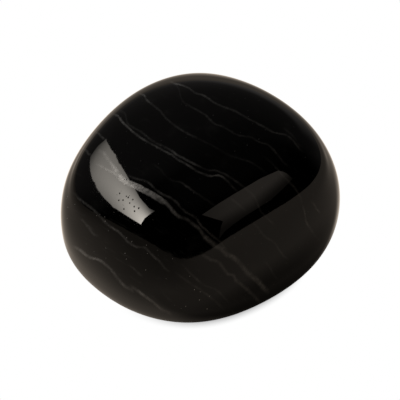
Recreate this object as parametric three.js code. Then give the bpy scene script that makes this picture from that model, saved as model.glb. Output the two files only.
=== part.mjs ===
// A polished onyx pebble: one closed stone, in millimetres, +Z up, resting on the plane z = 0.
//
// The stone began as a broken chunk with flat faces, and tumbling wore its edges and corners round.
// The model follows that history. A few named faces bound the chunk, and a power mean blends them
// into one smooth convex skin, measured outwards from a point inside the stone called its heart.

import * as THREE from 'three';
import { mergeVertices } from 'three/addons/utils/BufferGeometryUtils.js';

// The faces of the chunk, before wear. Bearing is the way a face looks, in degrees anticlockwise
// from +X seen from above. Rise is how far it looks up from the horizon, in degrees. Reach is its
// distance from the heart, in millimetres.
const FACES = [
  { name: 'crown', bearing: 287, rise: 82, reach: 9.5 },
  { name: 'left shoulder', bearing: 183, rise: 57, reach: 9.25 },
  { name: 'right shoulder', bearing: 312, rise: 39, reach: 11.5 },
  { name: 'back shoulder', bearing: 113, rise: 63, reach: 12.25 },
  { name: 'left end', bearing: 216, rise: 20, reach: 11 },
  { name: 'front left side', bearing: 260, rise: 18, reach: 11.25 },
  { name: 'front right side', bearing: 306, rise: 14, reach: 10.5 },
  { name: 'right end', bearing: 358, rise: -20, reach: 16.5 },
  { name: 'back right side', bearing: 38, rise: 24, reach: 14.5 },
  { name: 'back left side', bearing: 86, rise: 35, reach: 19.5 },
  { name: 'back left end', bearing: 135, rise: -21, reach: 14.5 },
  { name: 'under front left', bearing: 235, rise: -72, reach: 13.5 },
  { name: 'under front right', bearing: 309, rise: -65, reach: 15.25 },
  { name: 'under back', bearing: 117, rise: -48, reach: 11.5 },
  { name: 'base', bearing: 90, rise: -90, reach: 9.75 },
];

// How crisp the worn edges are: 2 gives almost a ball, and 20 gives edges that are hardly worn.
const EDGE_CRISPNESS = 5.5;

// Depth of the flat that the stone rests on, straight down from the heart.
const REST_DEPTH = 9;

// Cuts along each edge of the icosahedron that carries the skin. 20 gives 8820 triangles.
const SKIN_DETAIL = 20;

// The look of the polished stone.
const STONE_COLOUR = 0x0b0a09;
const STONE_ROUGHNESS = 0.06;

// The outward normal of a face.
function faceNormal({ bearing, rise }) {
  const turn = THREE.MathUtils.degToRad(bearing);
  const lift = THREE.MathUtils.degToRad(rise);
  const level = Math.cos(lift);
  return new THREE.Vector3(level * Math.cos(turn), level * Math.sin(turn), Math.sin(lift));
}

// Distance from the heart to the skin along a unit direction. Each face alone would stop the ray at
// reach / cosine, and the power mean rounds the smallest of those distances off.
function skinDistance(direction, faces) {
  let sum = 0;
  for (const { normal, reach } of faces) {
    const closeness = Math.max(0, direction.dot(normal)) / reach;
    sum += closeness ** EDGE_CRISPNESS;
  }
  return sum ** (-1 / EDGE_CRISPNESS);
}

// The stone's skin as a closed geometry: a finely cut icosahedron whose corners are pushed out to
// the skin, then held above the flat that the stone rests on.
function stoneGeometry() {
  const faces = FACES.map((face) => ({ normal: faceNormal(face), reach: face.reach }));
  const ball = new THREE.IcosahedronGeometry(1, SKIN_DETAIL);
  ball.deleteAttribute('normal');
  ball.deleteAttribute('uv');
  const geometry = mergeVertices(ball);

  const corners = geometry.getAttribute('position');
  const corner = new THREE.Vector3();
  for (let i = 0; i < corners.count; i += 1) {
    corner.fromBufferAttribute(corners, i).normalize();
    corner.multiplyScalar(skinDistance(corner, faces));
    if (corner.z < -REST_DEPTH) {
      corner.multiplyScalar(REST_DEPTH / -corner.z);
      corner.z = -REST_DEPTH;
    }
    corners.setXYZ(i, corner.x, corner.y, corner.z);
  }

  // The origin is the middle of the bounding box's bottom face, so the flat lies on z = 0.
  geometry.computeBoundingBox();
  const middle = geometry.boundingBox.getCenter(new THREE.Vector3());
  geometry.translate(-middle.x, -middle.y, REST_DEPTH);
  geometry.computeVertexNormals();
  return geometry;
}

const polishedOnyx = new THREE.MeshStandardMaterial({
  color: STONE_COLOUR,
  roughness: STONE_ROUGHNESS,
  metalness: 0,
});

const stone = new THREE.Mesh(stoneGeometry(), polishedOnyx);
stone.name = 'onyx_stone';

const group = new THREE.Group();
group.add(stone);

export default group;
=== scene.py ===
# %% [markdown]
# # A tumbled onyx stone
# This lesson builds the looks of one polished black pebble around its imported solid. The solid gives
# the frame: where the stone stands, how big it is and which body it belongs to. Everything below is
# in metres, in that same frame, so nothing has to be fitted afterwards.

# %% Load the frame
import math

import bpy
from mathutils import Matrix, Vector


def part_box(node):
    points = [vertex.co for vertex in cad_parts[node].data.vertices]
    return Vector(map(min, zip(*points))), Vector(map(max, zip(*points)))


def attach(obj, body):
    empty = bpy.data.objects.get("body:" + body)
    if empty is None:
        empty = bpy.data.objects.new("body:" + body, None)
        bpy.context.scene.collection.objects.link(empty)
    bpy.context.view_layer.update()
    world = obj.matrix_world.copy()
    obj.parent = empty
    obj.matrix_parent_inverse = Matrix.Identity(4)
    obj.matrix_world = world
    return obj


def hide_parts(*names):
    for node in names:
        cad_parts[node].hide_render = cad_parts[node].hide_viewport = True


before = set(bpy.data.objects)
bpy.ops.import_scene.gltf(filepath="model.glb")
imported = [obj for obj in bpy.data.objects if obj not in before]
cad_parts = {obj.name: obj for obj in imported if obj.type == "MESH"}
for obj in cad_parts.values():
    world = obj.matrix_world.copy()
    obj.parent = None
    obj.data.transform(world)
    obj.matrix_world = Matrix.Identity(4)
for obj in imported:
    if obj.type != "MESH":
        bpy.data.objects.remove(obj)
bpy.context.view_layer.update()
MM = 0.001
STONE_NODE = "onyx_stone"
stone_low, stone_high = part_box(STONE_NODE)
stone_middle = (stone_low + stone_high) / 2
stone_size = stone_high - stone_low
print("solid, mm:", [round(side / MM, 2) for side in stone_size])

# %% [markdown]
# ## Small helpers for node trees
# A shape that follows a rule and a finish that follows a rule are both written as node trees. They
# could be wired by hand in the node editor, but a script keeps them exact and easy to read. One
# helper links or sets a socket, one adds a Math node and one a Vector Math node. They take plain
# numbers or the outputs of other nodes, and hand back an output to go on with. The last one turns a
# bearing and a rise into a direction.


# %% Node helpers
def feed(tree, value, socket):
    """Link an output to a socket, or set the socket to a plain value."""
    if isinstance(value, bpy.types.NodeSocket):
        tree.links.new(value, socket)
    else:
        socket.default_value = value


def calc(tree, operation, *values):
    """Add a Math node and return its output."""
    node = tree.nodes.new("ShaderNodeMath")
    node.operation = operation
    for value, socket in zip(values, node.inputs):
        feed(tree, value, socket)
    return node.outputs["Value"]


def vector_calc(tree, operation, *values):
    """Add a Vector Math node and return its output, a number for a dot product or a length."""
    node = tree.nodes.new("ShaderNodeVectorMath")
    node.operation = operation
    for value, socket in zip(values, node.inputs):
        feed(tree, value, socket)
    return node.outputs["Value" if operation in ("DOT_PRODUCT", "LENGTH") else "Vector"]


def direction(bearing, rise):
    """Unit vector from a bearing (degrees anticlockwise from +X) and a rise above the horizon."""
    turn, lift = math.radians(bearing), math.radians(rise)
    return Vector((math.cos(lift) * math.cos(turn), math.cos(lift) * math.sin(turn), math.sin(lift)))


print("up is", tuple(round(part, 3) for part in direction(0, 90)))

# %% [markdown]
# ## The worn chunk
# The stone began as a broken chunk with flat faces, and months in a tumbler wore every edge round.
# It could be sculpted, or subdivided from a rough cage, but a polished stone shows each small bump
# as a kink in its reflections. So the skin is a formula, the same one that the solid has: each flat
# face would stop a ray from the stone's heart at reach / cosine, and a power mean of those distances
# rounds the corners off. A face is its bearing, its rise and its reach in millimetres.

# %% The faces of the chunk
STONE_FACES = {
    "crown": (287, 82, 9.5),
    "left shoulder": (183, 57, 9.25),
    "right shoulder": (312, 39, 11.5),
    "back shoulder": (113, 63, 12.25),
    "left end": (216, 20, 11),
    "front left side": (260, 18, 11.25),
    "front right side": (306, 14, 10.5),
    "right end": (358, -20, 16.5),
    "back right side": (38, 24, 14.5),
    "back left side": (86, 35, 19.5),
    "back left end": (135, -21, 14.5),
    "under front left": (235, -72, 13.5),
    "under front right": (309, -65, 15.25),
    "under back": (117, -48, 11.5),
    "base": (90, -90, 9.75),
}
print(len(STONE_FACES), "faces before wear")

# %% [markdown]
# ## The wear as a node tree
# Geometry Nodes evaluate the formula on a fine sphere, which gives a skin that is smooth enough to
# mirror a light. The sphere is an icosphere, because the triangles of a UV sphere crowd together at
# its poles and would pinch the reflections there. Every size is a named input of the tree.

# %% Build the wear
SHALLOWEST_FALL = 0.001


def skin_distance(tree, ray, sizes):
    """Distance from the heart to the worn skin along a ray, in millimetres."""
    total = 0.0
    for name, (bearing, rise, _) in STONE_FACES.items():
        cosine = vector_calc(tree, "DOT_PRODUCT", ray, direction(bearing, rise))
        closeness = calc(tree, "DIVIDE", calc(tree, "MAXIMUM", cosine, 0.0), sizes[name])
        total = calc(tree, "ADD", total, calc(tree, "POWER", closeness, sizes["Edge crispness"]))
    root = calc(tree, "DIVIDE", -1.0, sizes["Edge crispness"])
    distance = calc(tree, "POWER", total, root)

    # No point lies deeper than the flat that the stone rests on.
    fall = calc(tree, "MAXIMUM", vector_calc(tree, "DOT_PRODUCT", ray, (0, 0, -1)), SHALLOWEST_FALL)
    return calc(tree, "MINIMUM", distance, calc(tree, "DIVIDE", sizes["Rest depth"], fall))


def worn_chunk_tree():
    """Node tree that pushes a sphere's corners out to the worn skin. Inputs are in millimetres."""
    tree = bpy.data.node_groups.new("worn_chunk", "GeometryNodeTree")
    tree.is_modifier = True
    interface = tree.interface
    interface.new_socket("Geometry", in_out="OUTPUT", socket_type="NodeSocketGeometry")
    interface.new_socket("Subdivisions", in_out="INPUT", socket_type="NodeSocketInt")
    for name in ("Edge crispness", "Rest depth", *STONE_FACES):
        interface.new_socket(name, in_out="INPUT", socket_type="NodeSocketFloat")
    interface.new_socket("Finish", in_out="INPUT", socket_type="NodeSocketMaterial")
    sizes = tree.nodes.new("NodeGroupInput").outputs

    ball = tree.nodes.new("GeometryNodeMeshIcoSphere")
    feed(tree, sizes["Subdivisions"], ball.inputs["Subdivisions"])
    ray = vector_calc(tree, "NORMALIZE", tree.nodes.new("GeometryNodeInputPosition").outputs[0])
    skin = vector_calc(tree, "MULTIPLY", ray, skin_distance(tree, ray, sizes))
    place = tree.nodes.new("GeometryNodeSetPosition")
    feed(tree, ball.outputs["Mesh"], place.inputs["Geometry"])
    feed(tree, vector_calc(tree, "MULTIPLY", skin, (MM, MM, MM)), place.inputs["Position"])
    smooth = tree.nodes.new("GeometryNodeSetShadeSmooth")
    feed(tree, place.outputs["Geometry"], smooth.inputs["Geometry"])
    whole = tree.nodes.new("GeometryNodeRealizeInstances")
    feed(tree, smooth.outputs["Geometry"], whole.inputs["Geometry"])
    finish = tree.nodes.new("GeometryNodeSetMaterial")
    feed(tree, whole.outputs["Geometry"], finish.inputs["Geometry"])
    feed(tree, sizes["Finish"], finish.inputs["Material"])
    feed(tree, finish.outputs["Geometry"], tree.nodes.new("NodeGroupOutput").inputs["Geometry"])
    return tree


wear_tree = worn_chunk_tree()
print("nodes in the wear:", len(wear_tree.nodes))

# %% [markdown]
# ## Stand the stone in the frame
# The tree could stay on the stone as a modifier, but a finished piece is a plain mesh, so it is
# evaluated once here. The formula measures from the heart, and the frame from the middle of the
# stone's foot. The mesh is moved, not the object, because a finished piece's object stays at the
# origin: then the material's Object coordinates are the frame's own metres.

# %% Make the stone
EDGE_CRISPNESS = 5.5
REST_DEPTH = 9
SKIN_SUBDIVISIONS = 7


def worn_stone_mesh(finish):
    """Evaluate the wear once and return a plain mesh about the stone's heart."""
    maker = bpy.data.objects.new("stone_maker", bpy.data.meshes.new("stone_maker"))
    bpy.context.scene.collection.objects.link(maker)
    wear = maker.modifiers.new("wear", "NODES")
    wear.node_group = wear_tree
    values = {name: reach for name, (_, _, reach) in STONE_FACES.items()}
    values["Subdivisions"] = SKIN_SUBDIVISIONS
    values["Edge crispness"] = EDGE_CRISPNESS
    values["Rest depth"] = REST_DEPTH
    values["Finish"] = finish
    for socket in wear_tree.interface.items_tree:
        if socket.in_out == "INPUT":
            value = values[socket.name]
            wear[socket.identifier] = float(value) if socket.socket_type == "NodeSocketFloat" else value
    graph = bpy.context.evaluated_depsgraph_get()
    mesh = bpy.data.meshes.new_from_object(maker.evaluated_get(graph))
    bpy.data.objects.remove(maker)
    return mesh


onyx = bpy.data.materials.new("polished_onyx")
stone_mesh = worn_stone_mesh(onyx)
stone_mesh.name = "tumbled_onyx"
stone = bpy.data.objects.new("tumbled_onyx", stone_mesh)
bpy.context.scene.collection.objects.link(stone)
corners = [corner.co for corner in stone_mesh.vertices]
mesh_low = Vector(min(corner[axis] for corner in corners) for axis in range(3))
mesh_high = Vector(max(corner[axis] for corner in corners) for axis in range(3))
heart = stone_middle - (mesh_low + mesh_high) / 2
heart.z = stone_low.z + REST_DEPTH * MM
for corner in stone_mesh.vertices:
    corner.co += heart
print("triangles:", len(stone_mesh.polygons), "heart, mm:", [round(part / MM, 3) for part in heart])

# %% [markdown]
# ## Camera
# The stone was photographed from well above, with a long lens, so its outline shows almost no
# perspective. An orthographic camera would come close, but a long lens keeps the little that there
# is. The view's width at the stone follows from the stone's length in the picture.

# %% Set up the camera
VIEW_BEARING = 270
VIEW_RISE = 41
VIEW_DISTANCE = 0.35
VIEW_WIDTH = 43.3 * MM
AIM_RIGHT = 0.17 * MM
AIM_UP = -0.36 * MM
SENSOR = 36.0
NEAREST_SEEN = 0.01
view_back = direction(VIEW_BEARING, VIEW_RISE)
view_up = direction(VIEW_BEARING - 180, 90 - VIEW_RISE)
aim = heart + Vector((AIM_RIGHT, 0, 0)) + view_up * AIM_UP
camera_data = bpy.data.cameras.new("camera")
camera_data.sensor_width = SENSOR
camera_data.lens = SENSOR * VIEW_DISTANCE / VIEW_WIDTH
camera_data.clip_start = NEAREST_SEEN
camera = bpy.data.objects.new("camera", camera_data)
camera.location = aim + view_back * VIEW_DISTANCE
camera.rotation_euler = (-view_back).to_track_quat("-Z", "Y").to_euler()
bpy.context.scene.collection.objects.link(camera)
bpy.context.scene.camera = camera
bpy.context.scene.view_settings.view_transform = "Standard"
print("lens, mm:", round(camera_data.lens, 1))

# %% [markdown]
# ## A stage to mirror
# A black mirror shows its surroundings more than itself, so the stage is part of the finish. A
# picture of a studio could be wrapped round the scene, but then no light in it could be moved. Here
# each light is a small rule in nodes, and three more helpers make such rules: one starts an empty
# material, one fades a value smoothly into another, and one makes a surface glow.


# %% Helpers for the stage
def new_material(name):
    """An empty node material, its tree and its output node's surface socket."""
    material = bpy.data.materials.new(name)
    material.use_nodes = True
    material.node_tree.nodes.clear()
    output = material.node_tree.nodes.new("ShaderNodeOutputMaterial")
    return material, material.node_tree, output.inputs["Surface"]


def fade(tree, value, from_low, from_high, to_low, to_high):
    """A smooth change from one value to another over a range."""
    node = tree.nodes.new("ShaderNodeMapRange")
    node.interpolation_type = "SMOOTHSTEP"
    for name, given in zip(
        ("Value", "From Min", "From Max", "To Min", "To Max"),
        (value, from_low, from_high, to_low, to_high),
    ):
        feed(tree, given, node.inputs[name])
    return node.outputs["Result"]


def glow(tree, strength, tint):
    """An emission shader of the given strength and colour."""
    node = tree.nodes.new("ShaderNodeEmission")
    feed(tree, strength, node.inputs["Strength"])
    node.inputs["Color"].default_value = tint
    return node.outputs["Emission"]


print("middle of the stage, mm:", [round(part / MM, 1) for part in heart])

# %% [markdown]
# ## How the floor is lit
# The camera sees a pure white floor, but a studio white is burnt out only in the picture. Reflections
# see the floor as it is lit: a warm grey with a few pools of light, the brightest of them round the
# stone's lit side. The floor is darker in the stone's own shade, on the other side and behind it, and
# darkest under the overhang, where ambient occlusion tells how little of the room is left to see. A
# pool is its middle, its strength and the distance over which it falls off.

# %% The floor in reflections
FLOOR_GLOW_LEFT = 0.085
FLOOR_GLOW_RIGHT = 0.185
FLOOR_GLOW_SPREAD = 160 * MM
LIT_SIDE = direction(131, 0)
LIT_EDGE = (-12 * MM, -7.5 * MM)
NEAR_POOL = (Vector((-2, 12.5, 0)) * MM, 12.0, 7.2 * MM)
BRIGHTEST_FLOOR = 1.2
FAR_POOLS = {
    "left": (Vector((-45, 41, 0)) * MM, 1.15, 15 * MM),
    "far left": (Vector((-85, 88, 0)) * MM, 0.36, 36 * MM),
    "right": (Vector((50, 36, 0)) * MM, 0.7, 15 * MM),
    "front": (Vector((-20, -45, 0)) * MM, 0.07, 30 * MM),
    "back shade": (Vector((2, 75, 0)) * MM, -0.1, 32 * MM),
}
SHADE_MIDDLE = direction(330, 0) * (14 * MM)
SHADE_EDGE = (4 * MM, 24 * MM)
SHADE_LEFT_OVER = 0.17
OVERHANG_REACH = 5 * MM
OVERHANG_FALLOFF = 2.2
OPEN_SIDE = direction(225, 0)
OPEN_EDGE = (0.65, 1.0)
OPEN_FALLOFF = 0.8
OPENNESS_SAMPLES = 32


def from_under_heart(tree):
    """Place on the floor, measured from the point under the stone's heart."""
    place = tree.nodes.new("ShaderNodeTexCoord").outputs["Object"]
    return vector_calc(tree, "SUBTRACT", place, (heart.x, heart.y, stone_low.z))


def openness(tree, reach):
    """How open the floor is to the room, from 0 under the stone to 1 beyond its reach."""
    node = tree.nodes.new("ShaderNodeAmbientOcclusion")
    node.samples = OPENNESS_SAMPLES
    node.inputs["Distance"].default_value = reach
    return node.outputs["AO"]


def facing(tree, side):
    """How far a place on the floor lies to one side of the stone, from 1 straight there to -1."""
    outwards = vector_calc(tree, "NORMALIZE", from_under_heart(tree))
    return vector_calc(tree, "DOT_PRODUCT", outwards, side)


def floor_light(tree):
    """How bright the floor is in reflections, from where it is round the point under the heart."""
    at = from_under_heart(tree)

    def away(middle):
        return vector_calc(tree, "LENGTH", vector_calc(tree, "SUBTRACT", at, middle))

    def pool(middle, strength, falloff):
        spread = calc(tree, "EXPONENT", calc(tree, "DIVIDE", away(middle), -falloff))
        return calc(tree, "MULTIPLY", spread, strength)

    lit = fade(tree, vector_calc(tree, "DOT_PRODUCT", at, LIT_SIDE), *LIT_EDGE, 0.0, 1.0)
    near = calc(tree, "MULTIPLY", calc(tree, "MINIMUM", pool(*NEAR_POOL), BRIGHTEST_FLOOR), lit)
    rightward = vector_calc(tree, "DOT_PRODUCT", at, (1, 0, 0))
    grey = fade(tree, rightward, -FLOOR_GLOW_SPREAD, FLOOR_GLOW_SPREAD, FLOOR_GLOW_LEFT, FLOOR_GLOW_RIGHT)
    shade = fade(tree, away(SHADE_MIDDLE), *SHADE_EDGE, SHADE_LEFT_OVER, 1.0)
    light = calc(tree, "MULTIPLY_ADD", grey, shade, near)
    for far_pool in FAR_POOLS.values():
        light = calc(tree, "ADD", light, pool(*far_pool))
    falloff = fade(tree, facing(tree, OPEN_SIDE), *OPEN_EDGE, OVERHANG_FALLOFF, OPEN_FALLOFF)
    return calc(tree, "MULTIPLY", light, calc(tree, "POWER", openness(tree, OVERHANG_REACH), falloff))


print("pools of light and shade on the floor:", len(FAR_POOLS) + 1)

# %% [markdown]
# ## The floor itself
# To the camera the floor is white, with a short soft shadow where the stone stands. A lamp would
# throw a shadow with a shape of its own, and ambient occlusion with a short reach gives only the
# dark line at the foot. It shows in front and at the back, and hardly at the stone's two ends.

# %% Make the floor
FLOOR_RADIUS = 0.4
FLOOR_SIDES = 96
FLOOR_DROP = 0.02 * MM
FLOOR_TINT = (1.17, 1.0, 0.83, 1)
WHITE = (1, 1, 1, 1)
FRONT_SIDE = direction(296, 0)
FRONT_EDGE = (0.2, 0.95)
BACK_SIDE = direction(95, 0)
BACK_EDGE = (0.0, 0.5)
SHADOW_REACH = 1.0 * MM
SHADOW_DEPTH = 1.15
SHADOW_FALLOFF = 2.0


def floor_material():
    """White to the camera with a contact shadow, as lit to reflections."""
    material, tree, surface = new_material("studio_floor")
    hidden = calc(tree, "SUBTRACT", 1.0, openness(tree, SHADOW_REACH))
    hidden = calc(tree, "POWER", hidden, SHADOW_FALLOFF)
    front_depth = fade(tree, facing(tree, FRONT_SIDE), *FRONT_EDGE, 0.0, SHADOW_DEPTH)
    back_depth = fade(tree, facing(tree, BACK_SIDE), *BACK_EDGE, 0.0, SHADOW_DEPTH)
    shadow = calc(tree, "MULTIPLY", hidden, calc(tree, "MAXIMUM", front_depth, back_depth))
    white = calc(tree, "MAXIMUM", 0.0, calc(tree, "SUBTRACT", 1.0, shadow))
    mix = tree.nodes.new("ShaderNodeMixShader")
    feed(tree, tree.nodes.new("ShaderNodeLightPath").outputs["Is Camera Ray"], mix.inputs["Fac"])
    feed(tree, glow(tree, floor_light(tree), FLOOR_TINT), mix.inputs[1])
    feed(tree, glow(tree, white, WHITE), mix.inputs[2])
    feed(tree, mix.outputs[0], surface)
    return material


def stage_mesh(name, points, material):
    """A flat stage piece through the given points."""
    mesh = bpy.data.meshes.new(name)
    mesh.from_pydata(points, [], [range(len(points))])
    mesh.materials.append(material)
    piece = bpy.data.objects.new(name, mesh)
    bpy.context.scene.collection.objects.link(piece)
    return piece


floor_turns = [2 * math.pi * side / FLOOR_SIDES for side in range(FLOOR_SIDES)]
floor_rim = [
    (FLOOR_RADIUS * math.cos(turn), FLOOR_RADIUS * math.sin(turn), stone_low.z - FLOOR_DROP)
    for turn in floor_turns
]
stage_mesh("floor", floor_rim, floor_material())
print("floor radius, mm:", FLOOR_RADIUS / MM)

# %% [markdown]
# ## World
# The room is dark in front. Behind the stone a dim backdrop rises from the floor. Its foot glows most
# and reaches higher on the right, and it gives the top of the stone a faint grey sheen that ends
# without an edge. A backdrop could be a mesh, but the world's own shader needs no seam with the
# floor. The camera sees plain white beyond the floor. Heights and sides are parts of a look direction
# of length 1.

# %% The world
WORLD_TINT = (1.06, 0.99, 0.95, 1)
BEHIND = (0.05, 1, 0)
FOOT_GLOW = 0.085
FOOT_SIDES = (0.5, 0.9)
FOOT_EDGE = (-0.08, 0.12)
FOOT_TOP = -0.06
FOOT_CLIMB = 0.5
CLIMB_FROM = -0.1
BACKDROP_GLOW = 0.036
BACKDROP_SIDES = (0.0, 0.45)
BACKDROP_LOW_GAIN = 1.4
BACKDROP_LOW_TOP = 0.3
BACKDROP_TOP_SHARE = 0.5
BACKDROP_TOP_EDGE = (0.6, 0.95)
CEILING_GLOW = 0.014
CEILING_EDGE = (0.35, 0.95)


def room_light(tree):
    """How bright the room is in reflections: dark in front, faintly lit behind and overhead."""
    look = tree.nodes.new("ShaderNodeTexCoord").outputs["Generated"]
    up = vector_calc(tree, "DOT_PRODUCT", look, (0, 0, 1))
    back = vector_calc(tree, "DOT_PRODUCT", look, BEHIND)
    rightward = vector_calc(tree, "DOT_PRODUCT", look, (1, 0, 0))

    climb = calc(tree, "MAXIMUM", calc(tree, "SUBTRACT", rightward, CLIMB_FROM), 0.0)
    over_foot = calc(tree, "SUBTRACT", up, calc(tree, "MULTIPLY_ADD", climb, FOOT_CLIMB, FOOT_TOP))
    foot = fade(tree, over_foot, *FOOT_EDGE, FOOT_GLOW, 0.0)
    foot = calc(tree, "MULTIPLY", foot, fade(tree, back, *FOOT_SIDES, 0.0, 1.0))

    wall = fade(tree, back, *BACKDROP_SIDES, 0.0, BACKDROP_GLOW)
    wall = calc(tree, "MULTIPLY", wall, fade(tree, up, 0.0, BACKDROP_LOW_TOP, BACKDROP_LOW_GAIN, 1.0))
    wall = calc(tree, "MULTIPLY", wall, fade(tree, up, *BACKDROP_TOP_EDGE, 1.0, BACKDROP_TOP_SHARE))
    ceiling = fade(tree, up, *CEILING_EDGE, 0.0, CEILING_GLOW)
    return calc(tree, "MAXIMUM", calc(tree, "ADD", foot, wall), ceiling)


world = bpy.data.worlds.new("studio")
world.use_nodes = True
world_tree = world.node_tree
world_tree.nodes.clear()
seen = world_tree.nodes.new("ShaderNodeLightPath").outputs["Is Camera Ray"]
background = world_tree.nodes.new("ShaderNodeBackground")
background.inputs["Color"].default_value = WORLD_TINT
feed(world_tree, calc(world_tree, "MAXIMUM", room_light(world_tree), seen), background.inputs["Strength"])
world_output = world_tree.nodes.new("ShaderNodeOutputWorld")
feed(world_tree, background.outputs["Background"], world_output.inputs["Surface"])
bpy.context.scene.world = world
print("world:", world.name)

# %% [markdown]
# ## Soft lights
# A large soft light from the back left and a weaker, warmer one in front light the veins. One lamp
# alone would leave the veins on its far side black. Both are hidden from reflections, where the two
# panels below take their place.

# %% The soft lights
SOFT_LIGHT_SIZE = 0.4
KEY_LIGHT = {"place": (-0.22, 0.1, 0.5), "power": 3.4, "tint": (1, 1, 1)}
FILL_LIGHT = {"place": (0.1, -0.4, 0.2), "power": 1.2, "tint": (1, 0.85, 0.7)}


def soft_light(name, place, power, tint):
    """A square light that faces the stone and is seen by no camera ray and no reflection."""
    data = bpy.data.lights.new(name, "AREA")
    data.size = SOFT_LIGHT_SIZE
    data.energy = power
    data.color = tint
    light = bpy.data.objects.new(name, data)
    light.location = place
    light.rotation_euler = (heart - light.location).to_track_quat("-Z", "Y").to_euler()
    light.visible_camera = False
    light.visible_glossy = False
    bpy.context.scene.collection.objects.link(light)


soft_light("key_light", **KEY_LIGHT)
soft_light("fill_light", **FILL_LIGHT)
print("soft lights, W:", KEY_LIGHT["power"], FILL_LIGHT["power"])

# %% [markdown]
# ## The strip light that the stone mirrors
# Two panels stand on either side and are seen by reflections alone. The left one is a strip light,
# brightest low down at its near end, and it draws the white band on the left shoulder. A plain
# rectangular lamp would be simpler, but on a curved mirror its band would bend away from the real
# one. So a panel has an outline of its own, drawn along the panel, anticlockwise seen from above, and
# up from the heart, in millimetres.

# %% The strip light
PANEL_DISTANCE = 150 * MM
STRIP_BEARING = 180
STRIP_TINT = (1.08, 1.01, 0.91, 1)
STRIP_OUTLINE = [
    (58, 13), (56, 27), (62, 43), (70, 60), (44, 53), (-4, 55), (-42, 59), (-90, 62), (-131, 63),
    (-154, 58), (-178, 48), (-160, 38), (-132, 30), (-108, 32), (-85, 31), (-65, 28), (-30, 17), (-15, 14),
]
STRIP_HOTTEST = 9.0
HOT_ALONG = 50 * MM
HOT_UP = 20.5 * MM
RIDGE_SLOPE = 0.21
FALL_ALONG = 105 * MM
FALL_UP = 22.5 * MM


def strip_strength(tree, along, up):
    """A hot spot low down at the near end, fading along the strip and to both sides of its ridge."""
    beyond = calc(tree, "SUBTRACT", HOT_ALONG, along)
    ridge = calc(tree, "MULTIPLY_ADD", beyond, RIDGE_SLOPE, HOT_UP)
    off_ridge = calc(tree, "DIVIDE", calc(tree, "SUBTRACT", up, ridge), FALL_UP)
    fall = calc(tree, "MULTIPLY_ADD", off_ridge, off_ridge, calc(tree, "DIVIDE", beyond, FALL_ALONG))
    return calc(tree, "MULTIPLY", calc(tree, "EXPONENT", calc(tree, "MULTIPLY", fall, -1.0)), STRIP_HOTTEST)


def panel(name, outline, bearing, tint, strength):
    """An upright panel that faces the stone, lit by a rule of its own coordinates."""
    material, tree, surface = new_material(name)
    at = tree.nodes.new("ShaderNodeTexCoord").outputs["Object"]
    along_panel = direction(bearing + 90, 0)
    along = vector_calc(tree, "DOT_PRODUCT", at, along_panel)
    up = vector_calc(tree, "DOT_PRODUCT", at, (0, 0, 1))
    feed(tree, glow(tree, strength(tree, along, up), tint), surface)
    middle = direction(bearing, 0) * PANEL_DISTANCE
    points = [middle + along_panel * (across * MM) + Vector((0, 0, rise * MM)) for across, rise in outline]
    piece = stage_mesh(name, points, material)
    piece.location = heart
    piece.visible_camera = False
    piece.visible_diffuse = False
    piece.visible_shadow = False


panel("strip_light", STRIP_OUTLINE, STRIP_BEARING, STRIP_TINT, strip_strength)
print("panels stand", PANEL_DISTANCE / MM, "mm from the heart")

# %% [markdown]
# ## The dim reflector
# The right panel is a dim reflector that draws the grey band along the front ridge. One even tone
# would look pasted on, so the panel fades downwards. It ends above the floor, and the gap between
# them stays black below the band.

# %% The dim reflector
REFLECTOR_BEARING = 330
REFLECTOR_TINT = (1.14, 1.0, 0.86, 1)
REFLECTOR_OUTLINE = [
    (37, 31), (37, 76), (24, 85), (-135, 85), (-53, 25), (-61, 16), (-71, 2), (-55, 7), (13, 15),
]
TOP_GLOW_FRONT = 0.2
TOP_GLOW_BACK = 0.3
TOP_ENDS = (-110 * MM, 30 * MM)
LOW_GLOW = 0.055
LOW_EDGE = (8 * MM, 44 * MM)
CORNER_SLOPE = 0.65


def reflector_strength(tree, along, up):
    """Brighter above and to the back, fading away downwards and to the lower back corner."""
    top = fade(tree, along, *TOP_ENDS, TOP_GLOW_FRONT, TOP_GLOW_BACK)
    corner = calc(tree, "MULTIPLY", calc(tree, "MAXIMUM", along, 0.0), -CORNER_SLOPE)
    return fade(tree, calc(tree, "ADD", up, corner), *LOW_EDGE, LOW_GLOW, top)


panel("dim_reflector", REFLECTOR_OUTLINE, REFLECTOR_BEARING, REFLECTOR_TINT, reflector_strength)
print("reflector outline:", len(REFLECTOR_OUTLINE), "points")

# %% [markdown]
# ## Where the veins lie
# Onyx is laid down in layers, so its pale veins are thin sheets that lie almost parallel, and each
# line on the skin is where a sheet comes out. A painted picture would stretch over the edges and
# stop at its own border. Two measures of a point do better: its height across the layers and its
# run along them. A vein is then a height for each run, and it goes round the whole stone by itself.
# A little noise in the height makes every line wander.

# %% Measures across and along the layers
LAYER_BEARING = 46
LAYER_RISE = 32
VEIN_DIP = math.radians(35)
across_layers = direction(LAYER_BEARING, LAYER_RISE)
level_in_layer = direction(LAYER_BEARING - 90, 0)
down_in_layer = across_layers.cross(level_in_layer)
along_veins = level_in_layer * math.cos(VEIN_DIP) + down_in_layer * math.sin(VEIN_DIP)

onyx.use_nodes = True
onyx_tree = onyx.node_tree
stone_place = onyx_tree.nodes.new("ShaderNodeTexCoord").outputs["Object"]
from_heart = vector_calc(onyx_tree, "SUBTRACT", stone_place, heart)
place_mm = vector_calc(onyx_tree, "DIVIDE", from_heart, (MM, MM, MM))


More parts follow.
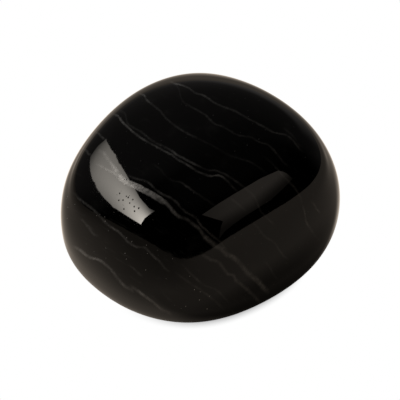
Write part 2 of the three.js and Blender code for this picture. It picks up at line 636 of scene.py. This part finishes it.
def cloud(waves_per_mm, detail, shift):
    """Noise about 0.5, whose shift picks one pattern out of many."""
    node = onyx_tree.nodes.new("ShaderNodeTexNoise")
    moved = vector_calc(onyx_tree, "ADD", place_mm, (shift, 0, 0))
    feed(onyx_tree, moved, node.inputs["Vector"])
    node.inputs["Scale"].default_value = waves_per_mm
    node.inputs["Detail"].default_value = detail
    return node.outputs["Fac"]


WIGGLE = 0.2
WIGGLE_NOISE = {"waves_per_mm": 2.2, "detail": 3, "shift": 11}
wiggle = calc(onyx_tree, "MULTIPLY", calc(onyx_tree, "SUBTRACT", cloud(**WIGGLE_NOISE), 0.5), WIGGLE)
height = calc(onyx_tree, "ADD", vector_calc(onyx_tree, "DOT_PRODUCT", place_mm, across_layers), wiggle)
run = vector_calc(onyx_tree, "DOT_PRODUCT", place_mm, along_veins)
print("layers face", tuple(round(part, 3) for part in across_layers))

# %% [markdown]
# ## The vein plan
# Each vein has a half width and a list of places, each with its run, its height and its paleness, in
# millimetres and in thousandths of a perfect white. It fades out half a millimetre beyond its ends.
# Noise alone could draw lines of this kind, but not these lines, so the places are read off the stone.
# The veins on the top are all hairlines.

# %% The veins on the top
HAIRLINE = 0.2
VEINS = {
    "crown": (HAIRLINE, [
        (-9.4, 8.8, 40), (-8.6, 8.95, 30), (-7.9, 9.0, 8), (-7.0, 8.8, 11), (-6.1, 9.0, 10),
        (-4.7, 8.85, 9), (-2.5, 9.25, 6), (-1.3, 9.3, 3), (1.0, 9.55, 7), (2.0, 9.65, 5),
        (3.6, 10.3, 7), (4.3, 10.25, 7), (5.6, 9.95, 2),
    ]),
    "crown strand": (HAIRLINE, [(3.0, 10.75, 2), (4.2, 10.6, 3), (5.4, 10.3, 1)]),
    "second": (HAIRLINE, [
        (-9.3, 8.65, 3), (-7.4, 7.1, 2), (-6.6, 7.05, 5), (-5.1, 7.05, 6), (-3.5, 6.7, 6),
        (-2.6, 6.9, 2), (-1.0, 7.0, 5), (0.5, 7.7, 3), (1.3, 7.75, 3), (2.4, 8.1, 4), (3.6, 7.9, 6),
        (5.0, 7.6, 2),
    ]),
    "ridge": (HAIRLINE, [
        (2.8, 6.75, 1), (5.6, 6.4, 4), (8.4, 5.95, 6), (9.2, 5.4, 1), (10.0, 4.9, 14),
        (10.6, 4.35, 17), (11.2, 4.15, 12), (13.1, 3.85, 3),
    ]),
    "third": (HAIRLINE, [
        (-11.3, 5.8, 30), (-10.7, 5.4, 22), (-9.9, 5.15, 4), (-9.1, 4.95, 6), (-7.6, 4.35, 4),
        (-5.6, 4.1, 7), (-4.2, 4.2, 2), (-2.5, 4.4, 1.5), (-0.6, 4.55, 1), (2.2, 5.4, 3),
        (3.9, 5.45, 0.5),
    ]),
    "middle": (HAIRLINE, [
        (-12.3, 2.2, 30), (-11.5, 1.8, 36), (-10.6, 1.5, 15), (-9.6, 1.2, 24), (-8.2, 1.05, 11),
        (-6.2, 1.05, 12), (-5.3, 1.1, 20), (-4.5, 1.0, 11), (-3.5, 1.05, 17), (-2.5, 1.05, 4),
        (-1.5, 1.2, 10), (-0.7, 1.5, 14), (-0.3, 1.9, 32), (0.4, 2.15, 11), (2.3, 1.9, 2),
    ]),
    "middle strand": (HAIRLINE, [
        (-12.0, 2.85, 4), (-10.7, 1.8, 4), (-9.2, 1.7, 4), (-7.6, 1.4, 5), (-5.7, 1.5, 7),
        (-4.9, 1.4, 26), (-4.1, 1.45, 20), (-2.5, 1.6, 5), (-1.3, 1.85, 5), (-0.6, 2.3, 4),
        (1.6, 2.65, 6), (2.6, 2.7, 2), (4.3, 2.6, 5), (6.0, 1.8, 4), (7.7, 1.7, 5),
    ]),
    "fourth": (HAIRLINE, [
        (-6.1, -0.8, 2), (-3.9, -1.3, 1), (-2.8, -0.95, 4), (-1.9, -0.95, 10), (-1.1, -0.95, 4),
        (1.3, -0.85, 1.5),
    ]),
    "fourth end": (HAIRLINE, [
        (6.0, 0.35, 3), (7.9, 0.1, 5), (9.0, 0.25, 5), (10.8, -0.1, 9), (11.2, -0.1, 4),
    ]),
}
print(len(VEINS), "veins on the top")

# %% [markdown]
# ## The lower veins
# One broad vein crosses the left shoulder and runs down the front, with thinner strands beside it,
# and a few short hairs lie between the others. A single wide line could stand for the broad vein, but
# the real one forks and frays, so it is drawn in several parts. Its palest part is kept apart from
# the rest, because its polish is rougher too. Where it crosses the bright band on the left shoulder
# it is drawn paler than elsewhere. That extra paleness is a painted highlight, standing in for strip
# light scattered by the rougher polish.

# %% The veins lower down
FINE_LINE = 0.24
THIN_BAND = 0.3
BROAD_BAND = 0.38
FRONT_BAND = 0.42
VEINS.update({
    "broad upper branch": (THIN_BAND, [
        (-11.3, -2.3, 15), (-10.5, -2.6, 35), (-9.7, -3.0, 45), (-8.9, -3.35, 60), (-8.2, -3.65, 60),
    ]),
    "broad lower branch": (HAIRLINE, [
        (-10.6, -3.75, 25), (-9.8, -3.75, 50), (-8.4, -3.75, 55), (-7.2, -3.95, 45), (-6.4, -4.0, 15),
    ]),
    "broad strand": (HAIRLINE, [
        (-7.5, -3.2, 8), (-5.7, -2.8, 8), (-4.0, -3.05, 8), (-2.4, -2.9, 8), (-0.7, -3.2, 7),
        (0.5, -3.05, 4), (1.3, -3.3, 8), (3.0, -3.45, 9), (4.3, -3.45, 9), (4.9, -3.6, 12),
    ]),
    "broad middle": (THIN_BAND, [
        (-3.0, -3.6, 28), (-1.7, -3.9, 16), (-1.0, -4.0, 11), (0.1, -3.75, 10), (1.5, -3.75, 9),
        (2.6, -4.0, 14),
    ]),
    "broad front": (FRONT_BAND, [
        (2.9, -4.05, 15), (4.0, -4.05, 15), (4.7, -3.9, 18), (5.6, -4.0, 26), (6.4, -3.8, 15),
        (7.4, -3.85, 9), (9.1, -4.1, 15), (10.0, -4.0, 20), (11.7, -4.15, 17),
    ]),
    "front": (THIN_BAND, [
        (3.6, -5.6, 6), (4.5, -5.5, 11), (5.4, -5.2, 6), (7.1, -5.5, 13), (7.6, -5.25, 10),
        (8.2, -5.5, 16), (9.0, -5.45, 16), (10.8, -5.45, 6), (11.7, -5.5, 9),
    ]),
    "speckled": (HAIRLINE, [
        (-11.0, -7.65, 4), (-10.2, -7.85, 12), (-8.0, -8.15, 15), (-6.4, -8.6, 14), (-4.6, -8.7, 25),
        (-3.2, -9.0, 10), (-2.3, -8.85, 14), (-1.7, -8.5, 9), (-0.7, -8.7, 8), (0.4, -8.8, 16),
        (1.5, -9.05, 6),
    ]),
    "foot strand": (HAIRLINE, [
        (2.7, -7.7, 3), (3.7, -7.9, 5), (4.5, -7.95, 14), (5.4, -8.0, 5), (7.4, -7.55, 5),
        (8.7, -7.7, 3),
    ]),
    "foot hair": (HAIRLINE, [
        (2.8, -8.75, 3), (4.6, -8.7, 5), (5.4, -8.6, 13), (7.2, -8.55, 5), (8.4, -8.5, 3),
    ]),
    "foot": (FINE_LINE, [
        (-7.2, -12.25, 32), (-5.6, -12.35, 68), (-4.6, -12.05, 48), (-3.7, -12.1, 28),
        (-3.0, -12.25, 20), (-1.5, -12.7, 30), (-0.9, -12.8, 32), (-0.1, -12.75, 20),
    ]),
    "foot end": (FINE_LINE, [
        (-0.1, -12.45, 18), (1.5, -12.5, 46), (2.5, -12.5, 18), (3.4, -12.55, 28), (4.5, -12.4, 20),
    ]),
    "left hair": (HAIRLINE, [(-8.6, -9.55, 9), (-7.8, -9.8, 14), (-6.6, -10.15, 9)]),
    "low hair": (HAIRLINE, [(-1.6, -10.85, 3), (-0.4, -11.0, 8)]),
    "mid hair": (HAIRLINE, [(-4.9, -10.6, 2), (-4.1, -10.6, 3)]),
    "right hair": (HAIRLINE, [(9.7, -1.95, 4), (11.6, -2.4, 4)]),
    "end hair": (HAIRLINE, [(10.1, 6.35, 9), (11.0, 6.1, 18)]),
    "ridge hair": (HAIRLINE, [(2.7, 0.85, 6), (4.1, 0.85, 5)]),
    "rim hair": (HAIRLINE, [(-12.8, -0.6, 18), (-12.0, -0.9, 10)]),
    "second rim hair": (HAIRLINE, [(-12.8, -2.9, 14), (-12.2, -3.2, 14)]),
})
# The broad vein's paleness is partly real and partly painted highlight: from run -8.3 to -6.5, where it
# crosses the bright band, it is raised to stand in for scattered strip light.
BROAD_VEIN_AND_HIGHLIGHT = (BROAD_BAND, [
    (-9.2, -3.4, 25), (-8.3, -3.75, 65), (-7.3, -3.9, 130), (-6.5, -3.8, 95), (-5.3, -3.7, 56),
    (-4.4, -3.65, 40), (-3.4, -3.65, 34),
])
print(len(VEINS) + 1, "veins in all")

# %% [markdown]
# ## From plan to lines
# Two Float Curve nodes join the places of a vein: one bends the path smoothly, the other changes the
# paleness in straight steps. A Float Curve works between 0 and 1, so run, height and paleness are
# brought into that range and back. Curve objects on the skin could be lines too, but they would end
# at the surface, where a sheet goes on. The distance from the path, through a smooth step, gives the
# line its soft sides.

# %% Draw the veins
RUN_REACH = 14.0
HEIGHT_REACH = 14.0
PALEST = 150.0
FADE_OUT = 0.5
BROAD_CORE = 0.55
run_share = calc(onyx_tree, "MULTIPLY_ADD", run, 0.5 / RUN_REACH, 0.5)


def curve(points, handle):
    """A Float Curve over the run, through (share of the run, value) points, level beyond the ends."""
    node = onyx_tree.nodes.new("ShaderNodeFloatCurve")
    feed(onyx_tree, run_share, node.inputs["Value"])
    line = node.mapping.curves[0]
    line.points[0].location = (0.0, points[0][1])
    line.points[1].location = (1.0, points[-1][1])
    for share, value in points:
        line.points.new(share, value)
    for point in line.points:
        point.handle_type = handle
    node.mapping.update()
    return node.outputs["Value"]


def off_height(middle):
    """How far a point of the stone lies from a height across the layers."""
    return calc(onyx_tree, "ABSOLUTE", calc(onyx_tree, "SUBTRACT", height, middle))


def vein(half_width, places, core=0.0):
    """Paleness of one vein at a point of the stone, full over its core and soft beyond it."""
    shares = [0.5 + 0.5 * place[0] / RUN_REACH for place in places]
    heights = [0.5 + 0.5 * place[1] / HEIGHT_REACH for place in places]
    pales = [place[2] / PALEST for place in places]
    fade_share = 0.5 * FADE_OUT / RUN_REACH
    path = curve(list(zip(shares, heights)), "AUTO_CLAMPED")
    pale_shares = [shares[0] - fade_share, *shares, shares[-1] + fade_share]
    paleness = curve(list(zip(pale_shares, [0.0, *pales, 0.0])), "VECTOR")
    path_height = calc(onyx_tree, "MULTIPLY_ADD", path, 2 * HEIGHT_REACH, -HEIGHT_REACH)
    line = fade(onyx_tree, off_height(path_height), core * half_width, half_width, 1.0, 0.0)
    return calc(onyx_tree, "MULTIPLY", line, paleness)


# broad holds the broad vein's paleness together with the painted highlight on it.
broad = vein(*BROAD_VEIN_AND_HIGHLIGHT, core=BROAD_CORE)
pale = broad
for half_width, places in VEINS.values():
    pale = calc(onyx_tree, "ADD", pale, vein(half_width, places))
print("nodes in the finish:", len(onyx_tree.nodes))

# %% [markdown]
# ## Uneven veins
# A real vein is patchy along its course and grainy close up, and lines of one even tone would look
# drawn on. Two layers of noise, one wide and one fine, make it paler here and darker there.

# %% Patches and grains in the veins
NOISE_RANGE = (0.3, 0.7)
PATCH_NOISE = {"waves_per_mm": 0.9, "detail": 2, "shift": 31}
PATCH_GAIN = (0.5, 1.5)
GRAIN_NOISE = {"waves_per_mm": 4.0, "detail": 1, "shift": 47}
GRAIN_GAIN = (0.75, 1.2)
patchiness = fade(onyx_tree, cloud(**PATCH_NOISE), *NOISE_RANGE, *PATCH_GAIN)
graininess = fade(onyx_tree, cloud(**GRAIN_NOISE), *NOISE_RANGE, *GRAIN_GAIN)
pale = calc(onyx_tree, "MULTIPLY", pale, calc(onyx_tree, "MULTIPLY", patchiness, graininess))
print("patches gain", PATCH_GAIN, "grains gain", GRAIN_GAIN)

# %% [markdown]
# ## Specks
# Small crystals catch the light as single bright specks. Most of them lie in a belt low on the left,
# and some follow the vein there. Each could be a tiny bead of its own, but they are part of the
# polished skin, so they are dots round the middle of some cells of a Voronoi texture.

# %% Bright specks
DOT_CORE = 0.4
SPECKS = {"cells_per_mm": 1.4, "radius": 0.07, "share": 0.5, "shift": 5}
SPECK_HEIGHT = -9.2
SPECK_BELT = (0.4, 3.5)
SPECKS_ELSEWHERE = 0.12
VEIN_SPECKS = {"cells_per_mm": 2.4, "radius": 0.07, "share": 0.4, "shift": 41}
VEIN_SPECK_HEIGHT = -8.6
VEIN_SPECK_BELT = (0.1, 0.8)


def dots(cells_per_mm, radius, share, shift):
    """Round dots in a share of the cells of a Voronoi texture, full over their core."""
    node = onyx_tree.nodes.new("ShaderNodeTexVoronoi")
    moved = vector_calc(onyx_tree, "ADD", place_mm, (shift, 0, 0))
    feed(onyx_tree, moved, node.inputs["Vector"])
    node.inputs["Scale"].default_value = cells_per_mm
    edge = radius * cells_per_mm
    dot = fade(onyx_tree, node.outputs["Distance"], DOT_CORE * edge, edge, 1.0, 0.0)
    lot = vector_calc(onyx_tree, "DOT_PRODUCT", node.outputs["Color"], (1, 0, 0))
    return calc(onyx_tree, "MULTIPLY", dot, calc(onyx_tree, "LESS_THAN", lot, share))


speck_belt = fade(onyx_tree, off_height(SPECK_HEIGHT), *SPECK_BELT, 1.0, SPECKS_ELSEWHERE)
specks = calc(onyx_tree, "MULTIPLY", dots(**SPECKS), speck_belt)
vein_belt = fade(onyx_tree, off_height(VEIN_SPECK_HEIGHT), *VEIN_SPECK_BELT, 1.0, 0.0)
vein_specks = calc(onyx_tree, "MULTIPLY", dots(**VEIN_SPECKS), vein_belt)
specks = calc(onyx_tree, "MAXIMUM", specks, vein_specks)
print("specks near height", SPECK_HEIGHT)

# %% [markdown]
# ## Pits and pores
# A few pits break the polish in the bright band on the left shoulder, and the broad vein is full of
# pores. They could be cut into the mesh, but they are finer than its triangles. So they are dots
# again, and the finish makes them darker and duller than the polish. The pits keep to a flat region
# round one place, and the pores to the pale part of the vein.

# %% Pits and pores
PITS = {"cells_per_mm": 2.5, "radius": 0.14, "share": 0.9, "shift": 23}
PIT_PLACE = (-7.3, -5.4, 3.7)
PIT_REGION = (2.3, 2.3, 0.75)
PIT_EDGE = (0.9, 1.0)
PORES = {"cells_per_mm": 3.2, "radius": 0.13, "share": 0.45, "shift": 83}
PORE_EDGE = (0.2, 0.5)
from_pits = vector_calc(onyx_tree, "SUBTRACT", place_mm, PIT_PLACE)
from_pits = vector_calc(onyx_tree, "LENGTH", vector_calc(onyx_tree, "DIVIDE", from_pits, PIT_REGION))
pits = calc(onyx_tree, "MULTIPLY", dots(**PITS), fade(onyx_tree, from_pits, *PIT_EDGE, 1.0, 0.0))
pores = calc(onyx_tree, "MULTIPLY", dots(**PORES), fade(onyx_tree, broad, *PORE_EDGE, 0.0, 1.0))
pits = calc(onyx_tree, "MAXIMUM", pits, pores)
print("pits round", PIT_PLACE, "mm from the heart")

# %% [markdown]
# ## Clouds and streaks
# Between the veins the black isn't one flat tone. Very faint clouds drift through it, and low on the
# stone faint streaks lie along the layers. A plain colour would be simpler, but it looks like
# plastic. The streaks are noise on the run and the height, stretched along the first.

# %% Clouds and streaks
CLOUD_NOISE = {"waves_per_mm": 0.45, "detail": 4, "shift": 71}
CLOUD_EDGE = (0.55, 0.8)
CLOUD_PALENESS = 1.2
STREAKS_ALONG = 0.45
STREAKS_ACROSS = 2.6
STREAK_EDGE = (0.58, 0.78)
STREAK_PALENESS = 5.0
STREAK_HEIGHTS = (-8.0, -5.0)
STREAKS_ABOVE = 0.15
clouds = fade(onyx_tree, cloud(**CLOUD_NOISE), *CLOUD_EDGE, 0.0, CLOUD_PALENESS)
in_layers = onyx_tree.nodes.new("ShaderNodeCombineXYZ")
feed(onyx_tree, calc(onyx_tree, "MULTIPLY", run, STREAKS_ALONG), in_layers.inputs["X"])
feed(onyx_tree, calc(onyx_tree, "MULTIPLY", height, STREAKS_ACROSS), in_layers.inputs["Y"])
streak_noise = onyx_tree.nodes.new("ShaderNodeTexNoise")
feed(onyx_tree, in_layers.outputs["Vector"], streak_noise.inputs["Vector"])
streak_noise.inputs["Scale"].default_value = 1.0
streaks = fade(onyx_tree, streak_noise.outputs["Fac"], *STREAK_EDGE, 0.0, STREAK_PALENESS)
low_down = fade(onyx_tree, height, *STREAK_HEIGHTS, 1.0, STREAKS_ABOVE)
clouds = calc(onyx_tree, "MULTIPLY_ADD", streaks, low_down, clouds)
print("faintest tones:", CLOUD_PALENESS, "to", STREAK_PALENESS, "thousandths of white")

# %% [markdown]
# ## Polished black
# Onyx takes a wet-looking polish: an almost black body under a clear, sharp reflection. A coat over
# a matt body could give it too, but one Principled shader with stone's own refraction is enough. The
# broad vein is slightly rougher than the rest, and the painted highlight in its colour keeps it pale
# inside the bright band on the left shoulder. The pits are dull, so they break a highlight as dark
# dots. A slight unevenness of the polish gives reflected edges a trace of life.

# %% The stone's finish
SPECK_PALENESS = 120.0
BODY_PALENESS = 0.05
PIT_DARKENING = 0.7
THOUSANDTH_OF_WHITE = (0.00103, 0.001, 0.00095)
GLOSS_ROUGHNESS = 0.03
BROAD_ROUGHNESS = 0.08
BROAD_ROUGH_EDGE = (0.1, 0.4)
PIT_ROUGHNESS = 0.9
ONYX_REFRACTION = 1.54
POLISH_WAVE = 0.002 * MM
POLISH_NOISE = {"waves_per_mm": 0.8, "detail": 2, "shift": 59}
gloss = onyx_tree.nodes["Principled BSDF"]
pale = calc(onyx_tree, "MULTIPLY", pale, calc(onyx_tree, "MULTIPLY_ADD", pits, -PIT_DARKENING, 1.0))
pale = calc(onyx_tree, "ADD", pale, calc(onyx_tree, "MULTIPLY", specks, SPECK_PALENESS / PALEST))
pale = calc(onyx_tree, "MULTIPLY_ADD", pale, PALEST, calc(onyx_tree, "ADD", clouds, BODY_PALENESS))
# The base colour carries the veins, specks, pits and clouds, and the painted highlight on the broad vein.
colour = vector_calc(onyx_tree, "SCALE", THOUSANDTH_OF_WHITE)
feed(onyx_tree, pale, colour.node.inputs["Scale"])
feed(onyx_tree, colour, gloss.inputs["Base Color"])
broad_rough = fade(onyx_tree, broad, *BROAD_ROUGH_EDGE, 0.0, BROAD_ROUGHNESS)
rough = calc(onyx_tree, "MAXIMUM", broad_rough, calc(onyx_tree, "MULTIPLY", pits, PIT_ROUGHNESS))
feed(onyx_tree, calc(onyx_tree, "ADD", rough, GLOSS_ROUGHNESS), gloss.inputs["Roughness"])
gloss.inputs["IOR"].default_value = ONYX_REFRACTION
bump = onyx_tree.nodes.new("ShaderNodeBump")
bump.inputs["Distance"].default_value = POLISH_WAVE
feed(onyx_tree, cloud(**POLISH_NOISE), bump.inputs["Height"])
feed(onyx_tree, bump.outputs["Normal"], gloss.inputs["Normal"])
print("finish:", onyx.name)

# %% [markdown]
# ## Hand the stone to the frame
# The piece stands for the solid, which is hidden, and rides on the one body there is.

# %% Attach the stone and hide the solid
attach(stone, "root")
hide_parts(STONE_NODE)
